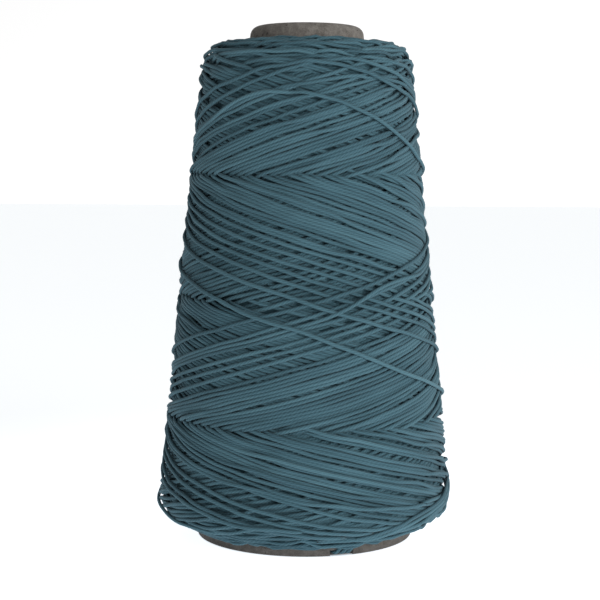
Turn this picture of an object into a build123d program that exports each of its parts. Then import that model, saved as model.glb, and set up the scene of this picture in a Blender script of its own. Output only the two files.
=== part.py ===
from build123d import *
import os
from math import cos, degrees, radians, sin, tan

# A cone of yarn: a paper cone with a rolled nose, the yarn wound on it, and the yarn's start,
# which passes over the base edge into the hollow cone.
# Millimetres. +Z up, the origin is the centre of the base rim, -Y is the front.
# Azimuths are degrees from the front towards +X.

# Paper cone
CONE_LENGTH = 170.0
CONE_BASE_RADIUS = 36.3
CONE_HALF_ANGLE = 5.95          # 5 degrees 57 minutes, a standard taper for textile cones
CONE_WALL = 1.9
BASE_EDGE_ROUNDING = 0.25
NOSE_ROUNDING = 3.0
NOSE_CURL = 3.682               # thickness of the rolled nose, from its outside to its bore
NOSE_BORE_DEPTH = 6.0           # the curled wall reaches this far down inside
NOSE_RAMP = 2.5                 # height over which the curl runs out into the taper
NOSE_LIP_ROUNDING = 0.6
NOTCH_AZIMUTH = 19.4
NOTCH_WIDTH = 8.0
NOTCH_DEPTH = 1.6
NOTCH_ROUNDING = 0.8
ROUNDING_SHOWN = 0.85           # share of the rounding's height, which ends short of tangency

# Yarn wound on the cone
YARN_DIAMETER = 1.2
WINDING_START = 2.4             # height of the lowest turns above the base rim
WINDING_END_GAP = 6.6           # bare cone from the last turns to the nose
YARN_DEPTH_BASE = 14.5          # radial depth of yarn at the base end
YARN_DEPTH_NOSE = 15.5          # and at the nose end
FIRST_TURNS_WIDTH = 1.7         # flat ring under the lowest turns
LOWER_BEVEL_ANGLE = 30.0
LOWER_CORNER_RADIUS = 8.0
SHOULDER_RADIUS = 8.0
CROWN_HEIGHT = 1.2              # the upper end face stands this much above its inner edge
CROWN_WIDTH = 5.0

# The yarn's start: a free end and a loop, laid over the base edge in the notch
TAIL_CLEARANCE = 0.1
ARC_SHARE = 0.45                # of the shorter run that each arc takes up


def outer_radius(height):
    """Outer radius of the paper cone at a height."""
    return CONE_BASE_RADIUS - height * tan(radians(CONE_HALF_ANGLE))


def inner_radius(height):
    """Inner radius of the paper cone at a height."""
    return outer_radius(height) - CONE_WALL / cos(radians(CONE_HALF_ANGLE))


def revolved(outline):
    """Solid of revolution about Z from a closed outline of (radius, height)."""
    return revolve(Plane.XZ * outline, Axis.Z)


def rounded(outline, corner, radius):
    """The outline with the corner at a given (radius, height) rounded."""
    vertex = outline.vertices().sort_by_distance((corner[0], corner[1], 0))[0]
    return fillet(vertex, radius)


def make_notch():
    """Cutter for the notch in the base edge, which leaves the wall above it with round edges."""
    height = NOTCH_DEPTH + NOTCH_ROUNDING * ROUNDING_SHOWN
    middle = (outer_radius(height) + inner_radius(height)) / 2
    span = degrees(NOTCH_WIDTH / CONE_BASE_RADIUS)
    opening = Pos(middle, 0) * Rectangle(4 * CONE_WALL, 2 * height)
    wall = Pos(0, 2 * NOTCH_DEPTH) * RectangleRounded(CONE_WALL, 4 * NOTCH_DEPTH, NOTCH_ROUNDING)
    wall = Pos(middle, height) * Rot(0, 0, CONE_HALF_ANGLE) * Pos(0, NOTCH_DEPTH - height) * wall
    cutter = revolve(Plane.XZ * (opening - wall), Axis.Z, span)
    return Rot(0, 0, NOTCH_AZIMUTH - 90 - span / 2) * cutter


def make_paper_cone():
    """Hollow cone with its nose curled inwards and its base cut square."""
    top = CONE_LENGTH
    bore_end = top - NOSE_BORE_DEPTH
    ramp_end = bore_end - NOSE_RAMP
    outer_base = (CONE_BASE_RADIUS, 0)
    nose = (outer_radius(top), top)
    bore_radius = outer_radius(top) - NOSE_CURL
    lip = (bore_radius, top)
    curl_end = (bore_radius, bore_end)
    ramp = (inner_radius(ramp_end), ramp_end)
    inner_base = (inner_radius(0), 0)
    outline = Polygon(outer_base, nose, lip, curl_end, ramp, inner_base, align=None)
    for corner, radius in (
        (outer_base, BASE_EDGE_ROUNDING),
        (nose, NOSE_ROUNDING),
        (lip, NOSE_LIP_ROUNDING),
        (curl_end, NOSE_LIP_ROUNDING),
        (inner_base, BASE_EDGE_ROUNDING),
    ):
        outline = rounded(outline, corner, radius)
    cone = revolved(outline) - make_notch()
    return cone


def make_yarn_package():
    """Plain body of the wound yarn, with its cone-shaped bore on the paper cone."""
    start = WINDING_START
    end = CONE_LENGTH - WINDING_END_GAP
    flank_slope = (YARN_DEPTH_NOSE - YARN_DEPTH_BASE) / CONE_LENGTH - tan(radians(CONE_HALF_ANGLE))
    flank_base = CONE_BASE_RADIUS + YARN_DEPTH_BASE
    ring = outer_radius(start) + FIRST_TURNS_WIDTH
    bevel_slope = tan(radians(LOWER_BEVEL_ANGLE))
    corner_height = (start + (flank_base - ring) * bevel_slope) / (1 - flank_slope * bevel_slope)
    lower_corner = (flank_base + flank_slope * corner_height, corner_height)
    crown = end + CROWN_HEIGHT
    shoulder = (flank_base + flank_slope * crown, crown)
    outline = Polygon(
        (outer_radius(start), start),
        (ring, start),
        lower_corner,
        shoulder,
        (outer_radius(end) + CROWN_WIDTH, crown),
        (outer_radius(end), end),
        align=None,
    )
    outline = rounded(outline, lower_corner, LOWER_CORNER_RADIUS)
    outline = rounded(outline, shoulder, SHOULDER_RADIUS)
    return revolved(outline)


def at_wall(azimuth, height, inside=False):
    """Centre of a strand of yarn that lies against the outer or the inner wall of the cone."""
    standoff = YARN_DIAMETER / 2 + TAIL_CLEARANCE
    radius = inner_radius(height) - standoff if inside else outer_radius(height) + standoff
    angle = radians(azimuth)
    return Vector(radius * sin(angle), -radius * cos(angle), height)


def over_edge(azimuth_out, azimuth_in):
    """The two points that take a strand round the base edge, under the roof of the notch."""
    height = NOTCH_DEPTH - YARN_DIAMETER / 2 - TAIL_CLEARANCE
    return [at_wall(azimuth_out, height), at_wall(azimuth_in, height, inside=True)]


def tail_route():
    """The free start end: from under the lowest turns, over the base edge, up inside."""
    route = [at_wall(25.6, WINDING_START + 0.9 * YARN_DIAMETER)]
    route += over_edge(22.9, 22.4)
    for azimuth, height in (
        (23.3, 6.0),
        (25.6, 13.0),
        (27.6, 23.0),
        (31.5, 33.0),
        (32.6, 43.0),
    ):
        route.append(at_wall(azimuth, height, inside=True))
    return route


def loop_route():
    """The loop beside it: in over the base edge, up and round inside, and out again."""
    route = [at_wall(23.1, WINDING_START + 0.9 * YARN_DIAMETER)]
    route += over_edge(19.6, 19.2)
    for azimuth, height in (
        (19.6, 5.6),
        (20.5, 11.2),
        (20.5, 17.1),
        (21.1, 21.7),
        (18.1, 24.3),
        (12.8, 25.4),
        (7.5, 24.3),
        (4.4, 21.7),
        (5.1, 17.1),
        (7.9, 11.8),
        (12.1, 6.3),
    ):
        route.append(at_wall(azimuth, height, inside=True))
    route += reversed(over_edge(16.2, 15.0))
    route.append(at_wall(19.6, WINDING_START + 0.9 * YARN_DIAMETER))
    return route


def arc_radii(route):
    """Radius of the arc at each inner point of a route, as large as its two runs allow.

    Round the base edge it is no larger than the arc that follows the notch's round roof.
    """
    edge_arc = NOTCH_ROUNDING + TAIL_CLEARANCE + YARN_DIAMETER / 2
    radii = []
    for before, point, after in zip(route, route[1:], route[2:]):
        arriving = point - before
        leaving = after - point
        shorter = min(arriving.length, leaving.length)
        half_turn = radians(arriving.get_angle(leaving)) / 2
        radius = ARC_SHARE * shorter / tan(half_turn)
        radii.append(min(radius, edge_arc) if point.Z < NOTCH_DEPTH else radius)
    return radii


def make_strand(name, route, package):
    """Tube of yarn along a route, ending where it meets the wound yarn."""
    radii = arc_radii(route)
    path = FilletPolyline(*route, radius=radii)
    section = Plane(origin=path @ 0, z_dir=path % 0) * Circle(YARN_DIAMETER / 2)
    strand = sweep(section, path=path)
    print(name, "length", round(path.length, 1), "radii", [round(radius, 1) for radius in radii])
    print(name, "volume", round(strand.volume, 2), "section by length",
          round(section.area * path.length, 2))
    return strand - package


def main():
    """Build every node and write it to parts/."""
    package = make_yarn_package()
    nodes = {
        "paper_cone": make_paper_cone(),
        "yarn_package": package,
        "start_tail": make_strand("start_tail", tail_route(), package),
        "start_loop": make_strand("start_loop", loop_route(), package),
    }
    os.makedirs("parts", exist_ok=True)
    for name, solid in nodes.items():
        export_step(solid, f"parts/{name}.step")
        print(name, "volume", round(solid.volume / 1000, 3), "cm3")


main()
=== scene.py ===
"""A cone of yarn: petrol-blue cotton yarn cross-wound on a paper cone.

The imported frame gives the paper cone, the outer shape of the wound yarn and the yarn's start. This
script lays the visible yarn strand by strand. A winding is worked out as a real winder makes it: the
strand runs up and down while the package turns, each stroke lies beside the one before, and it rests
on what was laid earlier. Sizes are millimetres until a mesh is made, and meshes are metres.
"""

import logging
import math
from dataclasses import dataclass, field
from enum import Enum
from typing import Sequence

import bpy
import numpy as np
from mathutils import Matrix, Vector


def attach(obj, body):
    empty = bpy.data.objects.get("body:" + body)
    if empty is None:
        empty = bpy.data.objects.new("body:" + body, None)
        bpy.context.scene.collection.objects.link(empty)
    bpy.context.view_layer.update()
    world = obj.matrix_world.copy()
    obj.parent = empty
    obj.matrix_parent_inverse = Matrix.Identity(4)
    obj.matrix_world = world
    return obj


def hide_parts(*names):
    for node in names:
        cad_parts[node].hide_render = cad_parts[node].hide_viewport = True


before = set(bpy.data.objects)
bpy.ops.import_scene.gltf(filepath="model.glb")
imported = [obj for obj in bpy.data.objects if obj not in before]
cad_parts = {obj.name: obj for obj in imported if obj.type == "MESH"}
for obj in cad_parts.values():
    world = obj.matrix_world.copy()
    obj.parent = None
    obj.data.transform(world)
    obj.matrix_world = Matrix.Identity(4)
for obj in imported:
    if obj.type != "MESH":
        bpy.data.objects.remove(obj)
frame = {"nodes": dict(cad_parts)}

log = logging.getLogger("yarn_cone")

MM = 0.001
TURN = 2 * math.pi
SEED = 57
STRAND_MAP = "strand"
SHADE = "shade"
END_SHARE = 0.55


class Slot(Enum):
    """Slot names for the board and the yarn."""

    BOARD = "board"
    YARN = "yarn"


class Node(Enum):
    """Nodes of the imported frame."""

    PAPER_CONE = "paper_cone"
    PACKAGE = "yarn_package"
    TAIL = "start_tail"
    LOOP = "start_loop"


# ----------------------------------------------------------------------------- shader graphs


class Value:
    """A float socket that takes part in Python arithmetic, each step adding a Math node."""

    def __init__(self, graph: "Nodes", socket: bpy.types.NodeSocket) -> None:
        """Wraps a socket.

        Args:
            graph: The graph that new Math nodes are added to.
            socket: The output socket that holds the value.
        """
        self.graph = graph
        self.socket = socket

    def _math(self, operation: str, *operands: "Value | float") -> "Value":
        """Adds one Math node and returns its result."""
        inputs = {index: operand for index, operand in enumerate(operands)}
        return self.graph.add("ShaderNodeMath", {"operation": operation}, inputs).value()

    def __add__(self, other: "Value | float") -> "Value":
        """This value plus another."""
        return self._math("ADD", self, other)

    def __radd__(self, other: float) -> "Value":
        """Another value plus this one."""
        return self._math("ADD", other, self)

    def __sub__(self, other: "Value | float") -> "Value":
        """This value less another."""
        return self._math("SUBTRACT", self, other)

    def __rsub__(self, other: float) -> "Value":
        """Another value less this one."""
        return self._math("SUBTRACT", other, self)

    def __mul__(self, other: "Value | float") -> "Value":
        """This value times another."""
        return self._math("MULTIPLY", self, other)

    def __rmul__(self, other: float) -> "Value":
        """Another value times this one."""
        return self._math("MULTIPLY", other, self)

    def sine(self) -> "Value":
        """The sine of this value."""
        return self._math("SINE", self)

    def absolute(self) -> "Value":
        """This value without its sign."""
        return self._math("ABSOLUTE", self)


class Added:
    """A node that was just added, which hands out its sockets."""

    def __init__(self, graph: "Nodes", node: bpy.types.Node) -> None:
        """Remembers the node and its graph."""
        self.graph = graph
        self.node = node

    def value(self, name: "str | int" = 0) -> Value:
        """An output as a value for arithmetic."""
        return Value(self.graph, self.node.outputs[name])

    def out(self, name: "str | int" = 0) -> bpy.types.NodeSocket:
        """An output as a plain socket, for colours and vectors."""
        return self.node.outputs[name]


class Nodes:
    """A node tree whose nodes all come from one method."""

    def __init__(self, tree: bpy.types.NodeTree) -> None:
        """Takes over a tree and empties it.

        Args:
            tree: The tree that nodes are added to.
        """
        self.tree = tree
        self.tree.nodes.clear()

    def add(self, kind: str, settings: "dict | None" = None, inputs: "dict | None" = None) -> Added:
        """Adds a node.

        Args:
            kind: The node's type.
            settings: Properties that are set before the inputs, and for a ramp its "stops".
            inputs: Socket name or number to a constant, a socket or a Value.

        Returns:
            The added node.
        """
        node = self.tree.nodes.new(kind)
        for key, setting in (settings or {}).items():
            if key == "stops":
                self._set_stops(node, setting)
            else:
                setattr(node, key, setting)
        for key, given in (inputs or {}).items():
            self.set(node.inputs[key], given)
        return Added(self, node)

    def set(self, socket: bpy.types.NodeSocket, given: object) -> None:
        """Gives a socket a constant, or links it.

        Args:
            socket: The input socket.
            given: A constant, an output socket or a Value.
        """
        if isinstance(given, Value):
            given = given.socket
        if isinstance(given, bpy.types.NodeSocket):
            self.tree.links.new(given, socket)
        else:
            socket.default_value = given

    @staticmethod
    def _set_stops(node: bpy.types.Node, stops: Sequence[tuple]) -> None:
        """Gives a ramp its stops.

        Args:
            node: The ramp.
            stops: (position, (red, green, blue)) pairs, in order.
        """
        elements = node.color_ramp.elements
        while len(elements) < len(stops):
            elements.new(0.5)
        for element, (position, colour) in zip(elements, stops):
            element.position = position
            element.color = (*colour, 1.0)


class Graph(Nodes):
    """A material's nodes, with the Principled shader that they feed."""

    def __init__(self, name: str) -> None:
        """Makes a material with a Principled shader.

        Args:
            name: The material's name.
        """
        self.material = bpy.data.materials.new(name)
        self.material.use_nodes = True
        super().__init__(self.material.node_tree)
        self.shader = self.add("ShaderNodeBsdfPrincipled").node
        self.add("ShaderNodeOutputMaterial", None, {"Surface": self.shader.outputs["BSDF"]})

    def surface(self, **inputs: object) -> bpy.types.Material:
        """Sets the Principled shader's sockets.

        Args:
            inputs: Socket names, with _ for a space, and what each is given.

        Returns:
            The material.
        """
        for key, given in inputs.items():
            self.set(self.shader.inputs[key.replace("_", " ")], given)
        return self.material

    def object_place(self) -> bpy.types.NodeSocket:
        """The piece's own Object coordinates."""
        return self.add("ShaderNodeTexCoord").out("Object")

    def noise(self, place: object, scale: float, detail: float = 2.0, rough: float = 0.5) -> Value:
        """A noise pattern's factor at a place."""
        inputs = {"Vector": place, "Scale": scale, "Detail": detail, "Roughness": rough}
        return self.add("ShaderNodeTexNoise", None, inputs).value("Fac")

    def ramp(self, factor: Value, stops: Sequence[tuple]) -> bpy.types.NodeSocket:
        """A colour ramp.

        Args:
            factor: What the ramp reads.
            stops: (position, (red, green, blue)) pairs, in order.

        Returns:
            The ramp's colour.
        """
        return self.add("ShaderNodeValToRGB", {"stops": stops}, {"Fac": factor}).out("Color")

    def mix(self, factor: object, first: object, second: object, how: str = "MIX") -> object:
        """Mixes two colours.

        Args:
            factor: The share of the second, a constant or a Value.
            first: A colour or its socket.
            second: A colour or its socket.
            how: The blend type.

        Returns:
            The mixed colour's socket.
        """
        settings = {"data_type": "RGBA", "blend_type": how}
        node = self.add("ShaderNodeMix", settings).node
        self.set(node.inputs["Factor"], factor)
        colours = [socket for socket in node.inputs if socket.type == "RGBA"]
        for socket, given in zip(colours, (first, second)):
            self.set(socket, given)
        return next(socket for socket in node.outputs if socket.type == "RGBA")

    def bump(self, height: Value, distance: float, strength: float = 1.0) -> object:
        """A normal from a height, with the height's full range given in metres."""
        inputs = {"Height": height, "Distance": distance, "Strength": strength}
        return self.add("ShaderNodeBump", None, inputs).out("Normal")


# ----------------------------------------------------------------------------- finishes


@dataclass(frozen=True)
class YarnFinish:
    """Matt plied cotton, with the twist running round each strand and painted shade in the grooves
    between its plies.
    """

    deep: tuple = (0.022, 0.052, 0.066)
    body: tuple = (0.054, 0.120, 0.150)
    bright: tuple = (0.092, 0.190, 0.228)
    plies: int = 4
    ply_relief: float = 0.055
    fibre_relief: float = 0.045

    def material(self) -> bpy.types.Material:
        """Makes the material, which reads the strand's UV map: twists along, turns around.

        Returns:
            The material.
        """
        graph = Graph("cotton_yarn")
        uv = graph.add("ShaderNodeUVMap", {"uv_map": STRAND_MAP}).out("UV")
        split = graph.add("ShaderNodeSeparateXYZ", None, {"Vector": uv})
        along, around = split.value("X"), split.value("Y")
        ply = ((along + around * self.plies) * math.pi).sine().absolute()
        shade = graph.add("ShaderNodeAttribute", {"attribute_name": SHADE}).value("Fac")
        place = graph.object_place()
        fibres = graph.noise(place, 5200.0, 2.0, 0.7)
        patches = graph.noise(place, 60.0, 2.0)
        # The ply term darkens the colour in the grooves between the plies as painted shade; shade, fibres
        # and patches are the yarn's own uneven tone.
        tone = ply * 0.22 + shade * 0.34 + fibres * 0.30 + patches * 0.18
        stops = ((0.17, self.deep), (0.545, self.body), (0.93, self.bright))
        colour = graph.ramp(tone, stops)
        height = ply * self.ply_relief + fibres * self.fibre_relief
        return graph.surface(
            Base_Color=colour,
            Roughness=0.92,
            Specular_IOR_Level=0.18,
            Sheen_Weight=0.06,
            Sheen_Roughness=0.5,
            Normal=graph.bump(height, MM),
        )


@dataclass(frozen=True)
class InnerYarnFinish:
    """The yarn under the visible strands, seen only in the gaps and coloured far darker than the yarn as
    painted shade.
    """

    # Painted shade: both colours lie far below the yarn's own colour.
    colour: tuple = (0.020, 0.044, 0.054)
    lighter: tuple = (0.030, 0.066, 0.082)

    def material(self) -> bpy.types.Material:
        """Makes dark strands running round the package, their darkness painted shade.

        Returns:
            The material.
        """
        graph = Graph("inner_yarn_painted_shade")
        place = graph.object_place()
        stretched = graph.add("ShaderNodeMapping", None, {"Vector": place, "Scale": (60, 60, 900)})
        streaks = graph.noise(stretched.out(), 1.0, 2.0)
        colour = graph.ramp(streaks, ((0.35, self.colour), (0.7, self.lighter)))
        return graph.surface(Base_Color=colour, Roughness=0.95, Specular_IOR_Level=0.1)


@dataclass(frozen=True)
class BoardFinish:
    """Grey-brown recycled board with dark and light flecks, and painted shade darkening it towards the
    base rim.
    """

    dark: tuple = (0.078, 0.070, 0.062)
    body: tuple = (0.168, 0.153, 0.137)
    light: tuple = (0.270, 0.250, 0.225)
    fleck: tuple = (0.026, 0.022, 0.020)
    straw: tuple = (0.22, 0.125, 0.070)
    # Painted shade: the colour, the height and the share by which the board is darkened towards the base
    # rim.
    painted_base_shade: tuple = (0.022, 0.018, 0.016)
    painted_shade_height: float = 0.014
    painted_shade_share: float = 0.55

    def material(self) -> bpy.types.Material:
        """Makes pressed board, read in Object coordinates.

        Returns:
            The material.
        """
        graph = Graph("recycled_board")
        place = graph.object_place()
        cloud = graph.noise(place, 420.0, 4.0, 0.65)
        pulp = graph.noise(place, 2400.0, 3.0, 0.7)
        tone = cloud * 0.55 + pulp * 0.45
        stops = ((0.32, self.dark), (0.5, self.body), (0.68, self.light))
        colour = graph.ramp(tone, stops)
        flecks = self._spots(graph, place, 520.0, 0.20)
        colour = graph.mix(flecks, colour, (*self.fleck, 1.0))
        straws = self._spots(graph, place, 310.0, 0.12)
        colour = graph.mix(straws, colour, (*self.straw, 1.0))
        # Painted shade: the colour darkens towards the base rim, where the cone stands in shade.
        up = graph.add("ShaderNodeSeparateXYZ", None, {"Vector": place}).value("Z")
        rim = graph.add(
            "ShaderNodeMapRange",
            None,
            {"Value": up, "From Max": self.painted_shade_height, "To Min": 1.0, "To Max": 0.0},
        ).value("Result")
        colour = graph.mix(rim * self.painted_shade_share, colour, (*self.painted_base_shade, 1.0))
        height = cloud * 0.5 + pulp * 0.5
        return graph.surface(
            Base_Color=colour,
            Roughness=0.88,
            Specular_IOR_Level=0.25,
            Normal=graph.bump(height, 0.12 * MM),
        )

    @staticmethod
    def _spots(graph: Graph, place: object, scale: float, size: float) -> object:
        """Makes a mask of small uneven spots, one in each of some cells.

        Args:
            graph: The material's graph.
            place: The coordinates that the spots are spread over.
            scale: Cells to the metre.
            size: Radius of a spot, as a share of a cell.

        Returns:
            The mask's socket.
        """
        wobble = graph.add("ShaderNodeTexNoise", None, {"Vector": place, "Scale": 2.0 * scale})
        bent = graph.mix(0.0016, place, wobble.out("Color"), "ADD")
        inputs = {"Vector": bent, "Scale": scale, "Randomness": 1.0}
        cell = graph.add("ShaderNodeTexVoronoi", None, inputs)
        distance = cell.value("Distance")
        chosen = graph.add("ShaderNodeSeparateXYZ", None, {"Vector": cell.out("Color")}).value("X")
        spot = graph.ramp(distance, ((size * 0.6, (1, 1, 1)), (size, (0, 0, 0))))
        picked = graph.ramp(chosen, ((0.72, (0, 0, 0)), (0.76, (1, 1, 1))))
        return graph.mix(1.0, spot, picked, "MULTIPLY")


@dataclass(frozen=True)
class FloorFinish:
    """Pale floor that glows as painted light from below, brighter round the cone as a painted pool of
    light.
    """

    colour: tuple = (0.88, 0.88, 0.88)
    # Painted light: the floor's glow, and the painted pool of light added to it near the cone.
    glow: tuple = (0.54, 0.565, 0.58)
    painted_light_pool: tuple = (0.36, 0.39, 0.44)
    painted_light_pool_radius: float = 0.30
    rim: float = 0.0365

    def material(self) -> bpy.types.Material:
        """Makes a matt white sheet that glows as painted light, brightest round the cone as a painted
        pool of light and without glow inside it.

        Returns:
            The material.
        """
        graph = Graph("pale_floor_painted_glow")
        far = graph.add("ShaderNodeVectorMath", {"operation": "LENGTH"}, {0: graph.object_place()})
        near = graph.add(
            "ShaderNodeMapRange",
            {"interpolation_type": "SMOOTHSTEP"},
            {"Value": far.value("Value"), "From Min": 0.0, "From Max": self.painted_light_pool_radius},
        ).value("Result")
        # Painted pool of light: the glow is brighter within the radius round the cone, and stops inside
        # the cone.
        bright = tuple(a + b for a, b in zip(self.glow, self.painted_light_pool))
        colour = graph.mix(near, (*bright, 1.0), (*self.glow, 1.0))
        outside = graph.add(
            "ShaderNodeMapRange",
            None,
            {"Value": far.value("Value"), "From Min": self.rim - 0.003, "From Max": self.rim},
        ).value("Result")
        colour = graph.mix(outside, (0.0, 0.0, 0.0, 1.0), colour)
        return graph.surface(
            Base_Color=(*self.colour, 1.0),
            Roughness=0.9,
            Specular_IOR_Level=0.1,
            Emission_Color=colour,
            Emission_Strength=1.0,
        )


# ----------------------------------------------------------------------------- the outline


@dataclass(frozen=True)
class PackageSizes:
    """Sizes of the cone and of the wound yarn, the same as the CAD bodies have."""

    cone_base_radius: float = 36.3
    cone_half_angle: float = 5.95
    length: float = 170.0
    start: float = 2.4
    end_gap: float = 6.6
    depth_base: float = 14.5
    depth_nose: float = 15.5
    first_turns: float = 1.7
    bevel_angle: float = 30.0
    corner_radius: float = 8.0
    shoulder_radius: float = 8.0
    crown_height: float = 1.2
    crown_width: float = 5.0
    ring_radius: float = 0.8
    crown_radius: float = 2.0

    def cone_radius(self, z: float) -> float:
        """Outer radius of the paper cone at a height."""
        return self.cone_base_radius - z * math.tan(math.radians(self.cone_half_angle))

    def outline(self) -> np.ndarray:
        """The yarn's outline from the cone at the base round to the cone at the nose.

        Returns:
            Rows of radius and height.
        """
        end = self.length - self.end_gap
        slope = (self.depth_nose - self.depth_base) / self.length
        slope -= math.tan(math.radians(self.cone_half_angle))
        flank = self.cone_base_radius + self.depth_base
        ring = self.cone_radius(self.start) + self.first_turns
        bevel = math.tan(math.radians(self.bevel_angle))
        corner_z = (self.start + (flank - ring) * bevel) / (1 - slope * bevel)
        crown = end + self.crown_height
        inner_crown = self.cone_radius(end) + self.crown_width
        corners = [
            (self.cone_radius(self.start), self.start, 0.0),
            (ring, self.start, self.ring_radius),
            (flank + slope * corner_z, corner_z, self.corner_radius),
            (flank + slope * crown, crown, self.shoulder_radius),
            (inner_crown, crown, self.crown_radius),
            (self.cone_radius(end), end, 0.0),
        ]
        return rounded_line(corners)


def rounded_line(corners: Sequence[tuple]) -> np.ndarray:
    """A line through corners, each rounded by its own radius.

    Args:
        corners: (x, y, radius) for each corner.

    Returns:
        Points along the line.
    """
    points = [np.array(corners[0][:2])]
    for before, here, after in zip(corners, corners[1:], corners[2:]):
        centre = np.array(here[:2])
        back = np.array(before[:2]) - centre
        ahead = np.array(after[:2]) - centre
        back /= np.linalg.norm(back)
        ahead /= np.linalg.norm(ahead)
        half = math.acos(float(np.clip(back @ ahead, -1, 1))) / 2
        reach = here[2] / math.tan(half)
        middle = (back + ahead) / np.linalg.norm(back + ahead) * here[2] / math.sin(half)
        first = back * reach - middle
        last = ahead * reach - middle
        for share in np.linspace(0, 1, 24):
            arm = first * (1 - share) + last * share
            points.append(centre + middle + arm / np.linalg.norm(arm) * here[2])
    points.append(np.array(corners[-1][:2]))
    return np.array(points)


def smooth(values: np.ndarray, window: int) -> np.ndarray:
    """A moving average that keeps the length, with the ends held.

    Args:
        values: What is averaged.
        window: Samples in the average.

    Returns:
        As many values as were given.
    """
    half = window // 2
    padded = np.concatenate([np.full(half, values[0]), values, np.full(half, values[-1])])
    total = np.cumsum(np.concatenate([[0.0], padded]))
    size = 2 * half + 1
    return (total[size:] - total[:-size]) / size


class Meridian:
    """The package's outline by the distance s along it, from the base to the nose.

    Attributes:
        length: Distance from end to end.
        s: Distances of the tables' entries.
        r: Radius at each.
        z: Height at each.
        out_r: Outward direction's radial part.
        out_z: Outward direction's upward part.
        bend: Curvature of the outline.
        room: Depth of yarn between the outline and the paper cone.
    """

    STEP = 0.2
    FLANK = (40.0, 120.0)
    LEAST_CLOSING = 0.02
    ALL_THE_ROOM = 99.0

    def __init__(self, package: PackageSizes) -> None:
        """Measures the outline.

        Args:
            package: The sizes that give the outline.
        """
        line = package.outline()
        runs = np.hypot(*np.diff(line, axis=0).T)
        keep = np.concatenate([[True], runs > 1e-6])
        line = line[keep]
        lengths = np.concatenate([[0.0], np.cumsum(np.hypot(*np.diff(line, axis=0).T))])
        self.length = float(lengths[-1])
        self.s = np.arange(0.0, self.length, self.STEP)
        self.r = np.interp(self.s, lengths, line[:, 0])
        self.z = np.interp(self.s, lengths, line[:, 1])
        along_r = smooth(smooth(np.gradient(self.r, self.STEP), 17), 17)
        along_z = smooth(smooth(np.gradient(self.z, self.STEP), 17), 17)
        size = np.hypot(along_r, along_z)
        self.out_r = along_z / size
        self.out_z = -along_r / size
        self.bend = np.abs(np.gradient(np.arctan2(self.out_z, self.out_r), self.STEP))
        tilt = math.radians(package.cone_half_angle)
        stand_off = (self.r - package.cone_base_radius) * math.cos(tilt) + self.z * math.sin(tilt)
        closing = self.out_r * math.cos(tilt) + self.out_z * math.sin(tilt)
        depth = stand_off / np.maximum(closing, self.LEAST_CLOSING)
        room = np.where(closing > self.LEAST_CLOSING, depth, self.ALL_THE_ROOM)
        self.room = np.maximum(room, 0.0)

    def read(self, table: np.ndarray, s: np.ndarray) -> np.ndarray:
        """Reads one of the tables at the distances s."""
        return np.interp(s, self.s, table)

    def on_flank(self, z: float) -> float:
        """Finds a height on the straight flank, produced past its ends.

        Args:
            z: The height.

        Returns:
            Distance along the outline.
        """
        low, high = (int(np.argmin(np.abs(self.z - mark))) for mark in self.FLANK)
        rate = (self.s[high] - self.s[low]) / (self.z[high] - self.z[low])
        return float(self.s[low] + (z - self.z[low]) * rate)


# ----------------------------------------------------------------------------- the winding


@dataclass
class Strand:
    """One laid length of yarn, sampled once in each column.

    Attributes:
        first: Column of the first sample, where column 0 faces the front.
        s: Distance along the outline at each sample.
        height: Height of the strand's centre over the CAD surface, when it was laid.
        sunk: How far the body had sunk there by then.
        shade: How pale the strand is, 0 to 1.
    """

    first: int
    s: np.ndarray
    height: np.ndarray
    sunk: np.ndarray
    shade: float = 0.5


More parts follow.
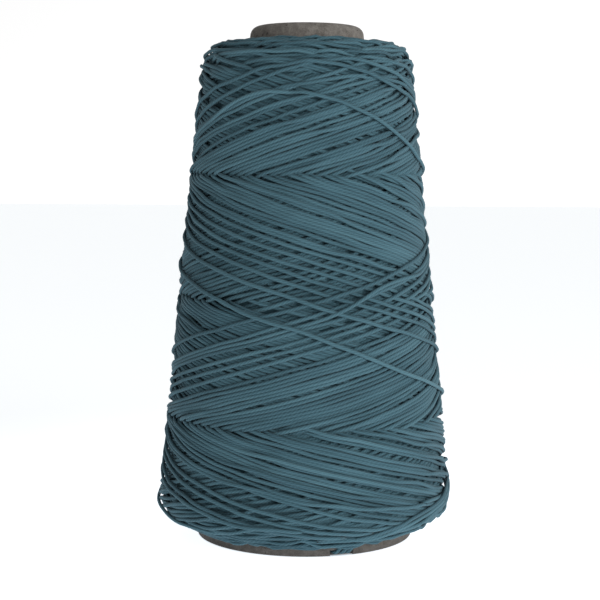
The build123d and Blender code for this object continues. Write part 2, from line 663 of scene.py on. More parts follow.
@dataclass
class Winder:
    """Lays strands on the package one after another, as a height map of what is there.

    Attributes:
        meridian: The package's outline.
        diameter: The strand's diameter.
        columns: Samples in one turn.
        press: How far a strand sinks into what it rests on.
        kept: Least and greatest height of a strand's centre over the CAD surface.
        joining: Distance over which a strand eases out of the one that it goes on from.
        slide: How far a strand may slide sideways.
        grip: What holds it back from sliding.
        least_bend: Curvature under a taut strand that is never gone below.
        cell_columns: Columns in a cell of the settling.
        cell_steps: Steps of the outline in a cell of the settling.
        top_share: Percentage of a cell's places that lie under its top.
        most_push: Greatest settling after one round.
        level: Height of what is there, for each column and each step of the outline.
        sunk: How far the body has been pressed in since the start, at the same places.
    """

    meridian: Meridian
    diameter: float = 1.2
    columns: int = 768
    press: float = 0.16
    kept: tuple = (-3.3, 0.5)
    joining: float = 5.0
    slide: float = 0.6
    grip: float = 0.3
    least_bend: float = 0.006
    cell_columns: int = 24
    cell_steps: int = 15
    top_share: float = 88
    most_push: float = 1.0
    level: np.ndarray = field(init=False)
    sunk: np.ndarray = field(init=False)

    def __post_init__(self) -> None:
        """Starts with a smooth body at the CAD surface."""
        self.level = np.zeros((self.columns, len(self.meridian.s)))
        self.sunk = np.zeros_like(self.level)

    def lay(self, first: int, s: np.ndarray, after: "Strand | None" = None) -> Strand:
        """Lays one strand over what is there.

        Args:
            first: Column of the first sample.
            s: Where the strand is led, at each column.
            after: The strand that this one goes on from.

        Returns:
            The strand as it came to rest.
        """
        column = (first + np.arange(len(s))) % self.columns
        radius = self.meridian.read(self.meridian.r, s)
        step = np.hypot(np.gradient(s), radius * TURN / self.columns)
        along = np.cumsum(step)
        fade = np.exp(-(along - along[0]) / self.joining)
        slip = self._slip(column, s)
        if after is not None:
            slip = slip + (after.s[-1] - s[0] - slip[0]) * fade
        s = np.clip(s + slip, 0.5, self.meridian.length - 0.5)
        rest = self._rest(column, s) - self.press
        height = self._taut(s, along, radius, rest)
        if after is not None:
            last = self._sunk_at(column[:1], after.s[-1:])[0] - after.sunk[-1]
            height = height + (after.height[-1] - last - height[0]) * fade
        self._stamp(column, s, height)
        return Strand(first, s, height, self._sunk_at(column, s))

    def settle(self) -> None:
        """Presses the body in, so that its top lies at the CAD surface again."""
        across, along = self.cell_columns, self.cell_steps
        rows = self.columns // across
        cells = self.level.shape[1] // along
        level = self.level[:, : cells * along].reshape(rows, across, cells, along)
        top = np.percentile(level, self.top_share, axis=(1, 3))
        top = (np.roll(top, 1, 0) + 2 * top + np.roll(top, -1, 0)) / 4
        middles = (np.arange(cells) + 0.5) * along
        spots = np.arange(self.level.shape[1])
        wide = np.pad(top, ((0, 0), (1, 1)), mode="edge")
        top = (wide[:, :-2] + 2 * wide[:, 1:-1] + wide[:, 2:]) / 4
        top = np.array([np.interp(spots, middles, row) for row in top])
        place = (np.arange(self.columns) + 0.5) / across - 0.5
        row = np.floor(place).astype(int)
        part = (place - row)[:, None]
        push = top[row % rows] * (1 - part) + top[(row + 1) % rows] * part
        push = np.clip(push, -self.most_push, self.most_push)
        self.level -= push
        self.sunk += push

    def finish(self, strands: Sequence[Strand]) -> None:
        """Moves strands to where the body has sunk since they were laid.

        Args:
            strands: The strands, which are changed.
        """
        for strand in strands:
            column = (strand.first + np.arange(len(strand.s))) % self.columns
            height = strand.height - self._sunk_at(column, strand.s) + strand.sunk
            strand.height = smooth(np.clip(height, *self.kept), 5)

    def _sunk_at(self, column: np.ndarray, s: np.ndarray) -> np.ndarray:
        """How far the body has sunk at the samples of a strand."""
        cell = np.rint(s / self.meridian.STEP).astype(int)
        return self.sunk[column, np.clip(cell, 0, self.level.shape[1] - 1)]

    def _rest(self, column: np.ndarray, s: np.ndarray) -> np.ndarray:
        """Finds where a strand touches what is there.

        Args:
            column: Columns of its samples.
            s: Their distances along the outline.

        Returns:
            Height of its centre at each sample.
        """
        radius = self.diameter / 2
        place = s / self.meridian.STEP
        cell = np.floor(place).astype(int)
        part = place - cell
        last = self.level.shape[1] - 1
        best = np.full(len(s), -99.0)
        reach = int(radius / self.meridian.STEP)
        for offset in range(-reach, reach + 1):
            low = self.level[column, np.clip(cell + offset, 0, last)]
            high = self.level[column, np.clip(cell + offset + 1, 0, last)]
            lift = math.sqrt(max(radius**2 - (offset * self.meridian.STEP) ** 2, 0.0))
            best = np.maximum(best, low * (1 - part) + high * part + lift)
        return best

    def _slip(self, column: np.ndarray, s: np.ndarray) -> np.ndarray:
        """Finds how far each sample slides sideways into the valley beside it.

        Args:
            column: Columns of the samples.
            s: Where the strand is led.

        Returns:
            What is added to s.
        """
        trials = np.linspace(-self.slide, self.slide, 7)
        rests = [smooth(self._rest(column, s + trial), 15) for trial in trials]
        cost = [rest + self.grip * trial**2 for rest, trial in zip(rests, trials)]
        best = trials[np.argmin(np.array(cost), axis=0)]
        return smooth(smooth(best, 27), 17)

    def _taut(
        self, s: np.ndarray, along: np.ndarray, radius: np.ndarray, rest: np.ndarray
    ) -> np.ndarray:
        """Pulls a strand taut, so that it touches its rests and runs straight between them.

        Args:
            s: Distances of the samples along the outline.
            along: Their distances along the strand.
            radius: The package's radius at each.
            rest: Least height at each.

        Returns:
            The strand's heights.
        """
        lean = np.clip(np.abs(np.gradient(s, along)), 0, 0.9)
        bend = (1 - lean**2) * self.meridian.read(self.meridian.out_r, s) / radius
        bend = np.maximum(bend + lean**2 * self.meridian.read(self.meridian.bend, s), self.least_bend)
        fall = np.cumsum(np.cumsum(bend * np.gradient(along)) * np.gradient(along))
        lift = rest - fall
        xs = along.tolist()
        ys = lift.tolist()
        hull: list[int] = []
        for index in range(len(xs)):
            while len(hull) > 1:
                a, b = hull[-2], hull[-1]
                over = (xs[b] - xs[a]) * (ys[index] - ys[a]) - (ys[b] - ys[a]) * (xs[index] - xs[a])
                if over < 0:
                    break
                hull.pop()
            hull.append(index)
        line = np.interp(along, along[hull], lift[hull])
        return smooth(line + fall, 7)

    def _stamp(self, column: np.ndarray, s: np.ndarray, height: np.ndarray) -> None:
        """Raises the height map to the top of a strand.

        Args:
            column: Columns of its samples.
            s: Their distances along the outline.
            height: Heights of its centre.
        """
        radius = self.diameter / 2
        centre = np.rint(s / self.meridian.STEP).astype(int)
        last = self.level.shape[1] - 1
        reach = int(radius / self.meridian.STEP)
        for offset in range(-reach, reach + 1):
            cell = np.clip(centre + offset, 0, last)
            off = cell * self.meridian.STEP - s
            top = height + np.sqrt(np.maximum(radius**2 - off**2, 0.0))
            inside = np.abs(off) < radius
            held = self.level[column[inside], cell[inside]]
            self.level[column[inside], cell[inside]] = np.maximum(held, top[inside])


@dataclass
class CrossWinding:
    """The way the winder led the yarn: up and down, nearly the same path each time.

    Attributes:
        pitch: Height climbed in one turn.
        top_line: Height where the straight parts of two strokes would meet at the top.
        base_line: The same at the base.
        last_top: Turns from the front to the last reversal at the top.
        turns_per_round: Turns from one reversal at the top to the next there.
        rounds: Up and down strokes that are laid.
        unseen: The first of these, which are laid but not drawn.
        scatter: Spread of the strokes from even places.
        corner: Usual width of a reversal, in turns.
        corner_spread: Spread of that width, as a share of it.
        drift: Spread of slow sideways shifts from stroke to stroke.
        waver: Spread of slow sideways shifts within a stroke.
        loose: Turns between neighbours among the last rounds, from the last one back.
    """

    pitch: float = 80.0
    top_line: float = 161.35
    base_line: float = 1.35
    last_top: float = 1.0057
    turns_per_round: float = 3.9842
    rounds: int = 135
    unseen: int = 46
    scatter: float = 0.30
    corner: float = 0.075
    corner_spread: float = 0.45
    drift: float = 0.6
    waver: float = 0.42
    loose: tuple = (0.055, 0.030, 0.040, 0.035, 0.030, 0.040, 0.022)

    def wind(self, winder: Winder, rng: np.random.Generator) -> list[list[Strand]]:
        """Lays every stroke.

        Args:
            winder: What lays the strands.
            rng: The source of the unevenness.

        Returns:
            The rounds in order, each a list of strands that follow on.
        """
        meridian = winder.meridian
        self.high = meridian.on_flank(self.top_line)
        self.low = meridian.on_flank(self.base_line)
        self.climb = (self.high - self.low) / (self.top_line - self.base_line) * self.pitch
        width = self.corner * np.exp(rng.normal(0.0, self.corner_spread, 2 * self.rounds + 3))
        drift = smooth(rng.normal(0.0, 1.0, 2 * self.rounds + 3), 5) * self.drift
        done: list[list[Strand]] = []
        previous = None
        shade = 0.5
        steps = [4.0 - step for step in self.loose]
        steps += [self.turns_per_round] * (self.rounds - 1 - len(steps))
        tops = self.last_top - np.concatenate([[0.0], np.cumsum(steps)])[::-1]
        for number, top in enumerate(tops):
            laid = []
            for half, sign in ((0, 1), (1, -1)):
                start = top - self.turns_per_round / 2 if half == 0 else top
                first = round(start * winder.columns)
                last = round((start + self.turns_per_round / 2) * winder.columns)
                turn = np.arange(first, last + 1) / winder.columns
                index = 2 * number + half
                route = self._route(turn, top, sign, width[index], width[index + 1])
                waver = rng.normal(0.0, 1.0, 2 + len(turn) // 100)
                spots = np.linspace(0, 1, len(waver))
                waver = smooth(np.interp(np.linspace(0, 1, len(turn)), spots, waver), 91)
                ends = np.sin(np.linspace(0, math.pi, len(turn))) ** 0.5
                aside = (drift[index] + rng.normal(0, self.scatter)) * ends
                route = route + waver * self.waver + aside
                strand = winder.lay(first, route, previous)
                shade = 0.7 * shade + 0.3 * rng.uniform(0, 1)
                strand.shade = shade
                previous = strand
                laid.append(strand)
            winder.settle()
            done.append(laid)
        return done[self.unseen :]

    def _route(
        self, turn: np.ndarray, top: float, sign: int, width_a: float, width_b: float
    ) -> np.ndarray:
        """Leads one stroke, with a rounded reversal at each end.

        Args:
            turn: Turns from the front at each sample.
            top: Turns from the front to the stroke's reversal at the top.
            sign: 1 for a stroke up, -1 for a stroke down.
            width_a: Width of the first reversal.
            width_b: Width of the second.

        Returns:
            Distance along the outline at each sample.
        """
        base = top - sign * self.turns_per_round / 2
        from_top = turn - top
        from_base = turn - base
        top_width, base_width = (width_b, width_a) if sign > 0 else (width_a, width_b)
        upper = self.high - self.climb * np.sqrt(from_top**2 + top_width**2)
        lower = self.low + self.climb * np.sqrt(from_base**2 + base_width**2)
        share = np.clip(np.abs(from_base) / (self.turns_per_round / 2), 0, 1)
        share = share * share * (3 - 2 * share)
        return lower * (1 - share) + upper * share


@dataclass
class EndTurns:
    """Reversals of the deeper layers, which show on the crown and on the bevel.

    Attributes:
        at_nose: Whether they lie at the nose, and not at the base.
        count: How many are laid.
        nearest: Distance along the outline from that end to the first apex.
        farthest: The same for the last apex.
        climb: Distance along the outline for one turn.
        reach: Half of an arc's length, in turns.
        width: Usual width of an apex, in turns.
        apart: Turns from one apex to the next, which spreads them evenly round the package.
        settle_every: Arcs laid between settlings.
    """

    at_nose: bool
    count: int
    nearest: float
    farthest: float
    climb: float = 70.0
    reach: float = 0.36
    width: float = 0.20
    apart: float = 0.618
    settle_every: int = 8

    def wind(self, winder: Winder, rng: np.random.Generator) -> list[Strand]:
        """Lays the arcs from the cone outwards.

        Args:
            winder: What lays the strands.
            rng: The source of the unevenness.

        Returns:
            The arcs in order.
        """
        arcs = []
        for number in range(self.count):
            share = number / (self.count - 1)
            off = self.nearest + (self.farthest - self.nearest) * share + rng.normal(0, 0.7)
            off = max(off, self.nearest)
            width = self.width * math.exp(rng.normal(0, 0.35))
            middle = number * self.apart + rng.normal(0, 0.05)
            reach = self.reach * rng.uniform(0.8, 1.25)
            first = round((middle - reach) * winder.columns)
            last = round((middle + reach) * winder.columns)
            turn = np.arange(first, last + 1) / winder.columns - middle
            drop = self.climb * (np.sqrt(turn**2 + width**2) - width)
            away = off + drop
            route = winder.meridian.length - away if self.at_nose else away
            strand = winder.lay(first, route)
            strand.shade = rng.uniform(0.2, 0.8)
            arcs.append(strand)
            if (number + 1) % self.settle_every == 0:
                winder.settle()
        return arcs


@dataclass(frozen=True)
class LastTurns:
    """The last stroke up and down, which lies over all the others and reverses early.

    Attributes:
        route: Places that the strand passes, as degrees round from the front and height.
        end_depth: How far the yarn's end is tucked in.
        shade: How pale the stroke is, 0 to 1.
    """

    route: tuple = (
        (-345, 6.0),
        (-315, 9.5),
        (-270, 18),
        (-180, 36),
        (-90, 55.5),
        (2, 74.8),
        (17, 79.9),
        (36, 86.0),
        (62, 89.9),
        (150, 107),
        (240, 125.5),
        (308, 138.9),
        (325, 144.3),
        (341, 146.9),
        (357, 147.1),
        (379, 143.3),
        (402, 136.8),
        (432, 126.1),
        (520, 110),
        (600, 96.5),
        (648, 88.7),
        (667, 84.7),
        (692, 78.2),
        (718, 73.2),
        (738, 66.6),
        (762, 59.0),
        (788, 52.3),
        (880, 33),
        (960, 17),
        (1010, 9),
        (1050, 6),
    )
    end_depth: float = 1.6
    shade: float = 0.75

    def wind(self, winder: Winder) -> list[Strand]:
        """Lays the stroke.

        Args:
            winder: What lays the strand.

        Returns:
            The stroke up and the stroke down, which follow on.
        """
        places = np.array(self.route, dtype=float)
        low, high = places[[0, -1], 0] / 360 * winder.columns
        column = np.arange(round(low), round(high) + 1)
        degrees = column / winder.columns * 360
        flank = [winder.meridian.on_flank(height) for height in places[:, 1]]
        s = smooth(smooth(np.interp(degrees, places[:, 0], flank), 25), 19)
        middle = len(s) // 2
        up = winder.lay(int(column[0]), s[: middle + 1])
        down = winder.lay(int(column[middle]), s[middle:], up)
        for strand, tip in ((up, strand_ends(len(up.s))), (down, strand_ends(len(down.s))[::-1])):
            strand.height = strand.height - self.end_depth * tip
            strand.shade = self.shade
        return [up, down]


def strand_ends(count: int, fade: int = 40) -> np.ndarray:
    """A weight that falls from one to nothing over the first samples."""
    return np.clip(1 - np.arange(count) / fade, 0, 1) ** 2


# ----------------------------------------------------------------------------- meshes


@dataclass(frozen=True)
class StrandMesher:
    """Turns laid strands into round tubes with closed ends.

    Attributes:
        meridian: The package's outline.
        package: The sizes of the cone under the yarn.
        columns: Samples in one turn.
        diameter: The strand's diameter.
        every: Samples to one ring of the tube.
        sides: Corners of a ring.
        flatten: Thickness of the pressed strand, as a share of its diameter.
        widen: Its width, as a share of its diameter.
        uneven: Spread of its thickness, as a share of it.
        mottle: Spread of its shade.
        least_gap: From the paper cone to a strand's centre, as a share of the diameter.
    """

    meridian: Meridian
    package: PackageSizes
    columns: int
    diameter: float = 1.2
    every: int = 6
    sides: int = 8
    flatten: float = 0.93
    widen: float = 1.04
    uneven: float = 0.035
    mottle: float = 0.18
    least_gap: float = 0.45

    def place(self, turn: np.ndarray, s: np.ndarray, height: np.ndarray) -> tuple:
        """Places samples in space, clear of the paper cone.

        Args:
            turn: Turns from the front.
            s: Distances along the outline.
            height: Heights over the CAD surface.

        Returns:
            The points, and the surface's outward direction at each.
        """
        read = self.meridian.read
        out_r = read(self.meridian.out_r, s)
        out_z = read(self.meridian.out_z, s)
        r = read(self.meridian.r, s) + out_r * height
        z = read(self.meridian.z, s) + out_z * height
        least = self.package.cone_base_radius + self.least_gap * self.diameter
        least = least - z * math.tan(math.radians(self.package.cone_half_angle))
        r = np.maximum(r, least)
        angle = turn * TURN
        sine, cosine = np.sin(angle), np.cos(angle)
        points = np.stack([r * sine, -r * cosine, z], 1)
        outward = np.stack([out_r * sine, -out_r * cosine, out_z], 1)
        return points, outward

    def mesh(self, name: str, runs: Sequence[list], rng: np.random.Generator) -> bpy.types.Mesh:
        """Makes one mesh from runs of strands.

        Args:
            name: The mesh's name.
            runs: Each a list of strands that follow on from each other.
            rng: The source of the strand's uneven thickness.

        Returns:
            The mesh, with a UV map along and round each strand and a shade.
        """
        parts = [self._tube(run, rng) for run in runs]
        return tube_mesh(name, parts, self.sides)

    def _tube(self, run: Sequence[Strand], rng: np.random.Generator) -> "TubeRings":
        """Makes the rings of one tube.

        Args:
            run: Strands that follow on from each other.
            rng: The source of the strand's uneven thickness.

        Returns:
            The tube's rings.
        """
        turns, s, height, shade = [], [], [], []
        for strand in run:
            count = len(strand.s)
            picks = np.arange(0, count - 1, self.every)
            if strand is run[-1]:
                picks = np.append(picks, count - 1)
            turns.append((strand.first + picks) / self.columns)
            s.append(strand.s[picks])
            height.append(strand.height[picks])
            shade.append(np.full(len(picks), strand.shade))
        turn = np.concatenate(turns)
        s = np.concatenate(s)
        height = np.concatenate(height)
        points, outward = self.place(turn, s, height)
        count = len(points)
        knots = rng.normal(0, 1, max(4, count // 9))
        uneven = np.interp(np.linspace(0, 1, count), np.linspace(0, 1, len(knots)), knots)
        radius = self.diameter / 2 * (1 + self.uneven * uneven)
        tone = np.concatenate(shade) + self.mottle * uneven
        return TubeRings(points, outward, radius, np.clip(tone, 0, 1), self.flatten, self.widen)


@dataclass(frozen=True)
class TubeRings:
    """A tube's centreline, in millimetres, with what its rings need.

    Attributes:
        points: The centreline's points.
        outward: A direction across the tube at each, which its rings start from.
        radius: The tube's radius at each.
        tone: How pale it is at each, 0 to 1.
        flatten: Size of the rings along outward.
        widen: Their size across it.
    """

    points: np.ndarray
    outward: np.ndarray
    radius: np.ndarray
    tone: np.ndarray
    flatten: float = 1.0
    widen: float = 1.0


def unit(vectors: np.ndarray) -> np.ndarray:
    """Vectors of length one."""
    return vectors / np.linalg.norm(vectors, axis=1, keepdims=True)


def tube_mesh(name: str, tubes: Sequence[TubeRings], sides: int, twist: float = 1.5) -> bpy.types.Mesh:
    """Joins tubes into one mesh of quads with closed, rounded ends.

    Args:
        name: The mesh's name.
        tubes: The tubes.
        sides: Corners of a ring.
        twist: Length along the yarn of one turn of its plies, for the UV map.

    Returns:
        The mesh in metres.
    """
    places, quads, maps, tones = [], [], [], []
    caps, cap_maps = [], []
    offset = 0
    spin = np.arange(sides) / sides * TURN
    for tube in tubes:
        path = tube.points
        tangent = unit(np.gradient(path, axis=0))
        side = unit(np.cross(tangent, tube.outward))
        up = np.cross(side, tangent)
        size = tube.radius.copy()
        size[[0, -1]] *= END_SHARE
        ring = up[:, None] * (np.cos(spin) * tube.flatten)[None, :, None]
        ring = ring + side[:, None] * (np.sin(spin) * tube.widen)[None, :, None]
        corners = path[:, None] + ring * size[:, None, None]
        count = len(path)
        places.append(corners.reshape(-1, 3))
        rows = np.arange(count - 1)[:, None] * sides
        here = np.arange(sides)[None, :]
        ahead = (here + 1) % sides
        quad = np.stack([rows + here, rows + ahead, rows + sides + ahead, rows + sides + here], -1)
        quads.append(quad.reshape(-1, 4) + offset)
        runs = np.linalg.norm(np.diff(path, axis=0), axis=1)
        along = np.concatenate([[0.0], np.cumsum(runs)]) / twist
        low = np.broadcast_to(along[:-1, None], (count - 1, sides))
        high = np.broadcast_to(along[1:, None], (count - 1, sides))
        left = np.broadcast_to(here / sides, (count - 1, sides))
        right = left + 1 / sides
        uv = np.stack([low, left, low, right, high, right, high, left], -1)
        maps.append(uv.reshape(-1, 2))
        tones.append(np.repeat(tube.tone, sides))
        last = offset + (count - 1) * sides
        caps.append(np.arange(offset, offset + sides)[::-1])
        caps.append(np.arange(last, last + sides))
        cap_maps.append(np.stack([np.full(2 * sides, along[0]), np.tile(np.arange(sides) / sides, 2)], 1))
        offset += count * sides
    verts = np.concatenate(places) * MM
    faces = np.concatenate(quads)
    capped = np.concatenate(caps)
    corners = np.concatenate([faces.ravel(), capped])
    starts = np.arange(len(faces)) * 4
    cap_starts = 4 * len(faces) + np.arange(len(caps)) * sides
    totals = np.concatenate([np.full(len(faces), 4), np.full(len(caps), sides)])
    mesh = bpy.data.meshes.new(name)
    mesh.vertices.add(len(verts))
    mesh.vertices.foreach_set("co", verts.astype(np.float32).ravel())
    mesh.loops.add(len(corners))
    mesh.loops.foreach_set("vertex_index", corners.astype(np.int32))
    mesh.polygons.add(len(totals))
    mesh.polygons.foreach_set("loop_start", np.concatenate([starts, cap_starts]).astype(np.int32))
    mesh.polygons.foreach_set("loop_total", totals.astype(np.int32))
    mesh.polygons.foreach_set("use_smooth", np.ones(len(totals), dtype=bool))
    mesh.update(calc_edges=True)
    layer = mesh.uv_layers.new(name=STRAND_MAP)
    layer.data.foreach_set("uv", np.concatenate(maps + cap_maps).astype(np.float32).ravel())
    shade = mesh.attributes.new(SHADE, "FLOAT", "POINT")
    shade.data.foreach_set("value", np.concatenate(tones).astype(np.float32))
    mesh.validate()
    return mesh


def mesh_object(name: str, mesh: bpy.types.Mesh, material: bpy.types.Material) -> bpy.types.Object:
    """Puts a mesh in the scene with its material.

    Args:
        name: The object's name.
        mesh: Its mesh.
        material: Its only material.

    Returns:
        The object, at the origin.
    """
    mesh.materials.clear()
    mesh.materials.append(material)
    piece = bpy.data.objects.new(name, mesh)
    bpy.context.collection.objects.link(piece)
    return piece


def deselect_all() -> None:
    """Leaves object mode with nothing selected."""
    if bpy.context.object is not None and bpy.context.object.mode != "OBJECT":
        bpy.ops.object.mode_set(mode="OBJECT")
    bpy.ops.object.select_all(action="DESELECT")


# ----------------------------------------------------------------------------- the pieces


@dataclass
class WoundYarn:
    """The yarn on the cone: an inner body, the strands over it, and the last turns."""

    package: PackageSizes = field(default_factory=PackageSizes)
    finish: YarnFinish = field(default_factory=YarnFinish)
    inner: InnerYarnFinish = field(default_factory=InnerYarnFinish)
    strand_diameter: float = 1.2
    core_depth: float = 2.9
    core_gap: float = 0.15
    blocks: int = 5

    def build(self) -> list[bpy.types.Object]:
        """Winds the package and makes its pieces.

        Returns:
            The pieces, all standing for the package's CAD node.
        """
        rng = np.random.default_rng(SEED)
        meridian = Meridian(self.package)
        winder = Winder(meridian, self.strand_diameter)
        nose = EndTurns(True, 110, 0.8, 18.0).wind(winder, rng)
        base = EndTurns(False, 100, 0.8, 13.0).wind(winder, rng)
        rounds = CrossWinding().wind(winder, rng)
        last = LastTurns().wind(winder)
        for laid in (nose, base, last, *rounds):
            winder.finish(laid)
        mesher = StrandMesher(meridian, self.package, winder.columns, self.strand_diameter)
        material = self.finish.material()
        pieces = [self._core(meridian)]
        runs = {"nose_turns": [[arc] for arc in nose], "base_turns": [[arc] for arc in base]}
        size = math.ceil(len(rounds) / self.blocks)
        for block in range(self.blocks):
            chosen = rounds[block * size : (block + 1) * size]
            runs[f"wound_yarn_{block + 1}"] = [[strand for laid in chosen for strand in laid]]
        runs["last_turns"] = [last]
        for name, given in runs.items():
            mesh = mesher.mesh(name, given, rng)
            pieces.append(mesh_object(name, mesh, material))
        for piece in pieces:
            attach(piece, "root")
            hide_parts(Node.PACKAGE.value)
        return pieces

    def _core(self, meridian: Meridian) -> bpy.types.Object:
        """Spins the closed body under the strands from its outline.

        Args:
            meridian: The package's outline.

        Returns:
            The body.
        """
        depth = np.minimum(self.core_depth, np.maximum(meridian.room - self.core_gap, 0.0))
        keep = slice(10, len(meridian.s) - 10, 12)
        r = (meridian.r - meridian.out_r * depth)[keep]
        z = (meridian.z - meridian.out_z * depth)[keep]
        least = np.array([self.package.cone_radius(height) for height in z]) + self.core_gap
        r = np.maximum(r, least)
        inner = np.linspace(z[-1], z[0], 12)
        inner_r = [self.package.cone_radius(height) + self.core_gap / 2 for height in inner]
        outline = [(a, 0.0, b) for a, b in zip(r, z)]
        outline += [(a, 0.0, b) for a, b in zip(inner_r, inner)]
        mesh = bpy.data.meshes.new("yarn_core")
        count = len(outline)
        edges = [(index, (index + 1) % count) for index in range(count)]
        mesh.from_pydata([Vector(point) * MM for point in outline], edges, [])
        piece = mesh_object("yarn_core", mesh, self.inner.material())
        deselect_all()
        piece.select_set(True)
        bpy.context.view_layer.objects.active = piece
        bpy.ops.object.mode_set(mode="EDIT")
        bpy.ops.mesh.select_all(action="SELECT")
        bpy.ops.mesh.spin(steps=128, angle=TURN, center=(0, 0, 0), axis=(0, 0, 1))
        bpy.ops.mesh.select_all(action="SELECT")
        bpy.ops.mesh.remove_doubles(threshold=0.00001)
        bpy.ops.mesh.normals_make_consistent(inside=False)
        bpy.ops.object.mode_set(mode="OBJECT")
        bpy.ops.object.shade_smooth()
        return piece


@dataclass
class StartYarn:
    """The yarn's start at the base rim: a free tail and a loop, both inside the cone."""

    package: PackageSizes = field(default_factory=PackageSizes)
    finish: YarnFinish = field(default_factory=YarnFinish)
    diameter: float = 1.2
    clearance: float = 0.1
    wall: float = 1.9
    notch_depth: float = 1.6
    ply_radius: float = 0.315
    ply_offset: float = 0.295
    ply_pitch: float = 9.0
    plies: int = 4

    def at_wall(self, azimuth: float, height: float, inside: bool = False) -> Vector:
        """A point of a strand that lies against the wall of the cone.

        Args:
            azimuth: Degrees from the front.
            height: Height of the strand's centre, in millimetres.
            inside: Whether the strand lies inside the cone.

        Returns:
            The point, in metres.
        """
        stand_off = self.diameter / 2 + self.clearance
        radius = self.package.cone_radius(height) + stand_off
        if inside:
            thick = self.wall / math.cos(math.radians(self.package.cone_half_angle))
            radius = self.package.cone_radius(height) - thick - stand_off
        angle = math.radians(azimuth)
        return Vector((radius * math.sin(angle), -radius * math.cos(angle), height)) * MM

    def over_edge(self, azimuth_out: float, azimuth_in: float) -> list[Vector]:
        """The two points that take a strand round the base edge, in the notch."""
        height = self.notch_depth - self.diameter / 2 - self.clearance
        return [self.at_wall(azimuth_out, height), self.at_wall(azimuth_in, height, True)]

    def tail_route(self) -> list[Vector]:
        """The free end: from under the lowest turns, over the edge, up inside.

        Returns:
            The route's points, in metres.
        """
        route = [self.at_wall(25.6, self.package.start + 0.9 * self.diameter)]
        route += self.over_edge(22.9, 22.4)
        inside = ((23.3, 6.0), (25.6, 13.0), (27.6, 23.0), (31.5, 33.0), (32.6, 43.0))
        return route + [self.at_wall(azimuth, height, True) for azimuth, height in inside]

    def loop_route(self) -> list[Vector]:
        """The loop: in over the edge, up and round inside, and out again.

        Returns:
            The route's points, in metres.
        """
        start = self.package.start + 0.9 * self.diameter
        route = [self.at_wall(23.1, start)]
        route += self.over_edge(19.6, 19.2)
        inside = (
            (19.6, 5.6),
            (20.5, 11.2),
            (20.5, 17.1),
            (21.1, 21.7),
            (18.1, 24.3),
            (12.8, 25.4),
            (7.5, 24.3),
            (4.4, 21.7),
            (5.1, 17.1),
            (7.9, 11.8),
            (12.1, 6.3),
        )
        route += [self.at_wall(azimuth, height, True) for azimuth, height in inside]
        route += reversed(self.over_edge(16.2, 15.0))
        return route + [self.at_wall(19.6, start)]

    def build(self) -> list[bpy.types.Object]:
        """Makes the two cords.

        Returns:
            The tail and the loop.
        """
        material = self.finish.material()
        tail = self._cord(Node.TAIL.value + "_yarn", self.tail_route(), material)
        loop = self._cord(Node.LOOP.value + "_yarn", self.loop_route(), material)
        cords = ((tail, Node.TAIL, "bare"), (loop, Node.LOOP, "object"))
        for (piece, path), node, far_end in cords:
            length = sum((b - a).length for a, b in zip(path, path[1:]))
            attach(piece, "root")
            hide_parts(node.value)
            self.diameter * MM
            log.info("%s: %.1f mm long", piece.name, length / MM)
        return [tail[0], loop[0]]

    def _cord(
        self, name: str, route: Sequence[Vector], material: bpy.types.Material
    ) -> tuple[bpy.types.Object, list[Vector]]:
        """Twists plies round the smooth line that follows a route.

        Args:
            name: The piece's name.
            route: The line's control points.
            material: The yarn's material.

        Returns:
            The piece, and the points of its centreline.
        """
        path = smooth_line(route)
        points = np.array([tuple(point) for point in path]) / MM
        tangent = unit(np.gradient(points, axis=0))
        side = np.empty_like(tangent)
        side[0] = np.cross(tangent[0], (0.0, 0.0, 1.0))
        for index in range(1, len(points)):
            side[index] = side[index - 1]
            side[index] -= tangent[index] * (side[index] @ tangent[index])
        side = unit(side)
        up = np.cross(side, tangent)
        runs = np.linalg.norm(np.diff(points, axis=0), axis=1)
        along = np.concatenate([[0.0], np.cumsum(runs)])
        tubes = []
        for ply in range(self.plies):
            phase = (along / self.ply_pitch + ply / self.plies) * TURN
            outward = side * np.cos(phase)[:, None] + up * np.sin(phase)[:, None]
            centre = points + outward * self.ply_offset
            radius = np.full(len(points), self.ply_radius)
            tubes.append(TubeRings(centre, outward, radius, np.full(len(points), 0.5)))
        mesh = tube_mesh(name, tubes, 10)
        return mesh_object(name, mesh, material), path


def smooth_line(route: Sequence[Vector]) -> list[Vector]:
    """Reads points from a NURBS curve of order 3.

    Args:
        route: The curve's control points.

    Returns:
        Points along the curve, from end to end.
    """
    curve = bpy.data.curves.new("route", "CURVE")
    curve.dimensions = "3D"
    curve.resolution_u = 14
    spline = curve.splines.new("NURBS")
    spline.points.add(len(route) - 1)
    for control, point in zip(spline.points, route):
        control.co = (*point, 1.0)
    spline.order_u = 3
    spline.use_endpoint_u = True
    holder = bpy.data.objects.new("route", curve)
    bpy.context.collection.objects.link(holder)
    line = bpy.data.meshes.new_from_object(holder)
    points = [vertex.co.copy() for vertex in line.vertices]
    bpy.data.objects.remove(holder)
    bpy.data.meshes.remove(line)
    bpy.data.curves.remove(curve)
    return points


@dataclass
class PaperCone:
    """The paper cone, whose CAD body is right and only gets its board finish."""

    finish: BoardFinish = field(default_factory=BoardFinish)

    def dress(self, nodes: dict) -> bpy.types.Object:
        """Gives the CAD node its material.

        Args:
            nodes: The frame's nodes.

        Returns:
            The CAD node's object.
        """
        piece = nodes[Node.PAPER_CONE.value]
        material = self.finish.material()
        for place in piece.material_slots:
            place.material = material
        return piece


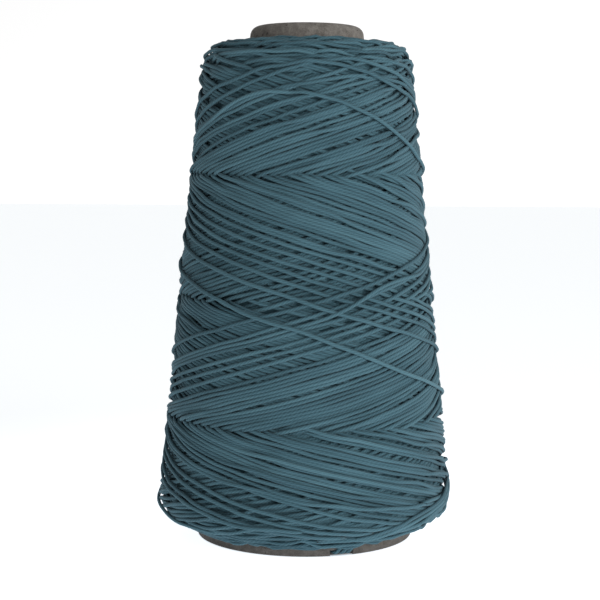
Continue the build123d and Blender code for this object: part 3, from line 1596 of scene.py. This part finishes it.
@dataclass
class Studio:
    """A pale floor that glows as painted light, soft light, and the camera.

    Attributes:
        floor: The floor's finish, with its painted glow.
        floor_size: Side of the floor, in metres, as all lengths here are.
        floor_drop: How far the floor lies under the base rim.
        world_level: Strength of the light from the sides.
        world_lean: What each axis adds to it.
        key_place: Where the key light stands.
        key_size: Side of the key light.
        key_power: Its power in watts.
        aim_height: Height that the key light faces.
        distance: From the cone's axis to the camera.
        height: Of the camera.
        pitch: How far the camera looks down, in degrees.
        roll: How far the camera leans sideways, in degrees.
        lens: Focal length in millimetres.
        shift: Sideways shift of the lens.
    """

    floor: FloorFinish = field(default_factory=FloorFinish)
    floor_size: float = 12.0
    floor_drop: float = 0.0002
    world_level: float = 0.74
    world_lean: tuple = (0.27, 0.36, -0.45)
    key_place: tuple = (0.75, -0.95, 0.30)
    key_size: float = 0.7
    key_power: float = 9.0
    aim_height: float = 0.08
    distance: float = 0.4955
    height: float = 0.120
    pitch: float = 4.74
    roll: float = 0.32
    lens: float = 88.3
    shift: float = -0.0093

    def build(self) -> None:
        """Makes the floor, the lights, the world and the camera."""
        place = (0, 0, -self.floor_drop)
        bpy.ops.mesh.primitive_plane_add(size=self.floor_size, location=place)
        ground = bpy.context.object
        ground.name = "floor"
        ground.data.materials.append(self.floor.material())
        self._world()
        self._key_light()
        self._camera()

    def _world(self) -> None:
        """Soft white light, strongest from behind and weakest from above and from the left."""
        world = bpy.data.worlds.new("studio")
        world.use_nodes = True
        nodes = Nodes(world.node_tree)
        way = nodes.add("ShaderNodeTexCoord").out("Generated")
        lean = nodes.add(
            "ShaderNodeVectorMath", {"operation": "DOT_PRODUCT"}, {0: way, 1: self.world_lean}
        )
        inputs = {"Color": (1.0, 1.0, 1.0, 1.0), "Strength": lean.value("Value") + self.world_level}
        background = nodes.add("ShaderNodeBackground", None, inputs).out()
        nodes.add("ShaderNodeOutputWorld", None, {"Surface": background})
        bpy.context.scene.world = world
        bpy.context.scene.view_settings.view_transform = "Standard"

    def _key_light(self) -> None:
        """A soft square white light that faces the middle of the cone and isn't seen itself."""
        data = bpy.data.lights.new("key", "AREA")
        data.size = self.key_size
        data.energy = self.key_power
        light = bpy.data.objects.new("key", data)
        light.location = self.key_place
        aim = Vector((0, 0, self.aim_height)) - Vector(self.key_place)
        light.rotation_euler = aim.to_track_quat("-Z", "Y").to_euler()
        light.visible_camera = False
        bpy.context.collection.objects.link(light)

    def _camera(self) -> None:
        """The camera, level with the upper part of the cone and looking slightly down."""
        data = bpy.data.cameras.new("camera")
        data.lens = self.lens
        data.sensor_width = 36.0
        data.shift_x = self.shift
        camera = bpy.data.objects.new("camera", data)
        tilt = Matrix.Rotation(math.radians(90 - self.pitch), 4, "X")
        turn = Matrix.Rotation(math.radians(self.roll), 4, "Z")
        place = Matrix.Translation((0, -self.distance, self.height))
        camera.matrix_world = place @ tilt @ turn
        bpy.context.collection.objects.link(camera)
        bpy.context.scene.camera = camera


def main() -> None:
    """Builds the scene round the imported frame."""
    logging.basicConfig(level=logging.INFO, format="%(message)s")
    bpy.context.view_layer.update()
    Studio().build()
    cone = PaperCone().dress(frame["nodes"])
    log.info("%s: board finish", cone.name)
    for piece in StartYarn().build() + WoundYarn().build():
        piece.data.calc_loop_triangles()
        log.info("%s: %d triangles", piece.name, len(piece.data.loop_triangles))


if __name__ == "__main__":
    main()
